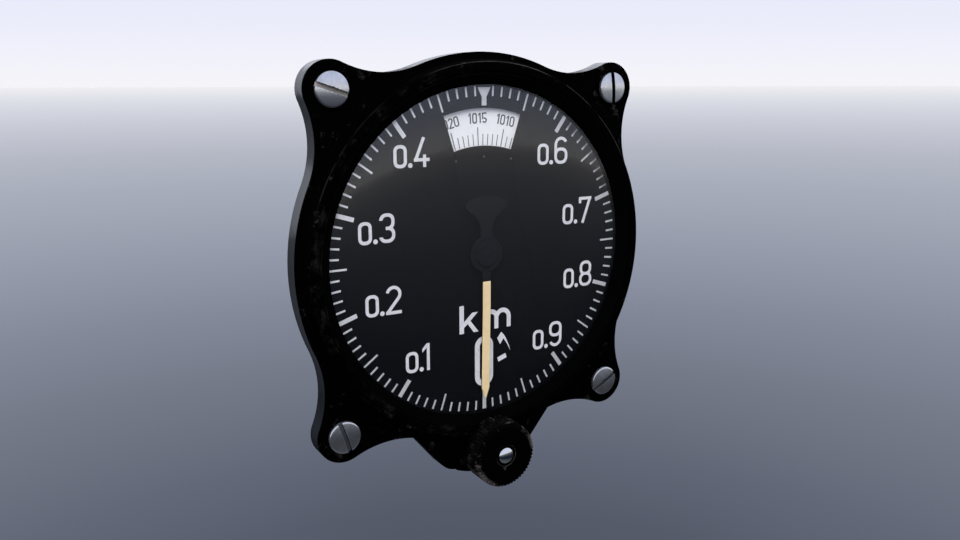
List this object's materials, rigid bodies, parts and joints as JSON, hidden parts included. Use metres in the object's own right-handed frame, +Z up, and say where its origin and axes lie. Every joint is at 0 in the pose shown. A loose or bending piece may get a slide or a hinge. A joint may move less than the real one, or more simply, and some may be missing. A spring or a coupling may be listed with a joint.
{
  "type": "altimeter",
  "caption": "Round panel altimeter with lugged flange, white-marked black dial, one pointer, pressure window and ribbed setting knob over an aneroid movement in a tapered case.",
  "frame": {"origin": "on the dial's axis, in the plane of the flange's rear face that lies against the panel", "axes": "-Y is the way the face looks, +Z is up with the figures upright, +X is to the right of an observer looking at the face"},
  "size_m": [0.0862, 0.059, 0.0946],
  "materials": {
    "black_paint": "satin black, worn",
    "dial_black": "matt black",
    "dial_white": "matt white print",
    "scale_white": "matt white",
    "scale_grey": "matt grey print",
    "steel": "turned",
    "screw_polished": "polished",
    "glass": "clear",
    "rubber": "matt",
    "brass": "turned",
    "capsule_alloy": "pressed",
    "blue_steel": "blued",
    "bimetal": "plain",
    "jewel": "polished",
    "lume": "aged cream",
    "knob_black": "moulded, worn"
  },
  "bodies": {
    "case": {"case_front": "black_paint", "case_rear": "black_paint", "case_screws": "steel", "mounting_screws": "steel", "bezel_ring": "black_paint", "cover_glass": "glass", "glass_gasket": "rubber", "sloped_ring": "black_paint", "dial_plate": "dial_black", "dial_graduations": "dial_white", "dial_numerals": "dial_white", "dial_rivets": "dial_black", "friction_washer": "steel", "shaft_bush": "brass", "shaft_seal": "rubber", "stop_pin": "steel", "static_port": "brass", "port_washer": "rubber", "access_plug": "steel"},
    "carrier": {"carrier_gear": "brass", "pressure_scale": "scale_white", "pressure_markings": "scale_grey", "front_plate": "brass", "rear_plate": "brass", "pillars": "steel", "plate_screws": "steel", "front_bushes": "jewel", "rear_bushes": "jewel", "capsule_bracket": "brass", "capsule_stack": "capsule_alloy", "adjusting_screw": "steel", "hairspring": "blue_steel", "hairspring_stud": "brass"},
    "link": {"capsule_post": "steel", "link_rod": "steel"},
    "rocker": {"rocking_shaft": "steel", "sector_gear": "brass", "lever_arm": "steel", "lever_counterweight": "brass", "bimetal_strip": "bimetal"},
    "intermediate": {"intermediate_arbor": "steel", "intermediate_wheel": "brass", "intermediate_pinion": "steel"},
    "hand": {"hand_arbor": "steel", "centre_pinion": "steel", "hairspring_collet": "brass", "pointer": "black_paint", "pointer_lume": "lume", "pointer_boss": "black_paint"},
    "setting_knob": {"knob": "knob_black", "knob_screw": "screw_polished", "knob_shaft": "steel", "knob_pinion": "brass"}
  },
  "joints": [
    {"name": "pressure_setting", "type": "hinge", "parent": "case", "child": "carrier", "pos_m": [0, 0, 0], "axis": [0, 1, 0], "range_deg": [-205.6, 99]},
    {"name": "knob_turn", "type": "hinge", "parent": "case", "child": "setting_knob", "pos_m": [0, 0, -0.0441], "axis": [0, 1, 0], "range_deg": [-873, 1811]},
    {"name": "pointer_turn", "type": "hinge", "parent": "carrier", "child": "hand", "pos_m": [0, 0, 0], "axis": [0, 1, 0], "range_deg": [-30, 360]},
    {"name": "intermediate_turn", "type": "hinge", "parent": "carrier", "child": "intermediate", "pos_m": [0.00732, 0, -0.01512], "axis": [0, 1, 0], "range_deg": [-60.5, 5.5]},
    {"name": "rocker_swing", "type": "hinge", "parent": "carrier", "child": "rocker", "pos_m": [0.016, 0, 0.002], "axis": [0, 1, 0], "range_deg": [-0.75, 8.6]},
    {"name": "capsule_travel", "type": "slide", "parent": "carrier", "child": "link", "axis": [1, 0, 0], "range_m": [-0.0002, 0.00235]}
  ],
  "couplings": [
    {"joint": "knob_turn", "follows": "pressure_setting", "ratio": -8.8},
    {"joint": "intermediate_turn", "follows": "pointer_turn", "ratio": -0.16667},
    {"joint": "rocker_swing", "follows": "pointer_turn", "ratio": 0.02381},
    {"joint": "capsule_travel", "follows": "pointer_turn", "m_per_rad": 0.00036869}
  ]
}
